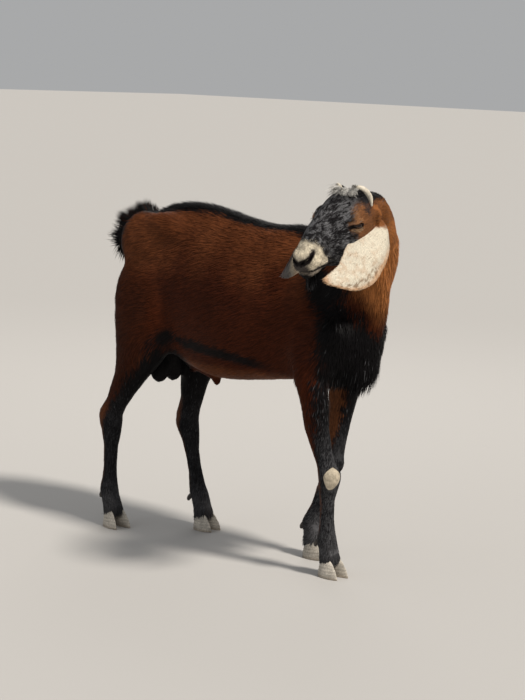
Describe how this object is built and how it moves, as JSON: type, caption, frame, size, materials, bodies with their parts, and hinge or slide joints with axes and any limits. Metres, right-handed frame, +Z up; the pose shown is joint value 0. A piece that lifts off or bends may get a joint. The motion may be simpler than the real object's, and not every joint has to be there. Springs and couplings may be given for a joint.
{
  "type": "nubian goat buck model",
  "caption": "Still life-size Nubian buck standing square with its head turned to its right, long hanging ears, short horns and a carried tail.",
  "frame": {"origin": "floor level under the middle of the animal's box", "axes": "+X the way the body faces, +Y the animal's left side, +Z up"},
  "size_m": [0.9892, 0.4876, 0.9262],
  "materials": {
    "chestnut_coat": "short glossy red-brown hair",
    "black_coat": "black hair, grey flecked",
    "pale_coat": "short cream hair with fine brown speckles",
    "horn": "satin horn",
    "eye": "wet amber eye",
    "dark_skin": "thinly haired dark skin"
  },
  "bodies": {
    "root": {"torso": "chestnut_coat", "neck": "chestnut_coat", "head": "black_coat", "ear_left": "pale_coat", "ear_right": "pale_coat", "eye_left": "eye", "eye_right": "eye", "horn_left": "horn", "horn_right": "horn", "forelock": "pale_coat", "beard": "black_coat", "tail": "black_coat", "scrotum": "dark_skin", "sheath": "dark_skin", "leg_fore_left": "black_coat", "leg_fore_right": "black_coat", "leg_hind_left": "black_coat", "leg_hind_right": "black_coat", "claw_fore_left_inner": "horn", "claw_fore_left_outer": "horn", "claw_fore_right_inner": "horn", "claw_fore_right_outer": "horn", "claw_hind_left_inner": "horn", "claw_hind_left_outer": "horn", "claw_hind_right_inner": "horn", "claw_hind_right_outer": "horn", "dewclaw_fore_left_inner": "horn", "dewclaw_fore_left_outer": "horn", "dewclaw_fore_right_inner": "horn", "dewclaw_fore_right_outer": "horn", "dewclaw_hind_left_inner": "horn", "dewclaw_hind_left_outer": "horn", "dewclaw_hind_right_inner": "horn", "dewclaw_hind_right_outer": "horn"}
  },
  "joints": []
}
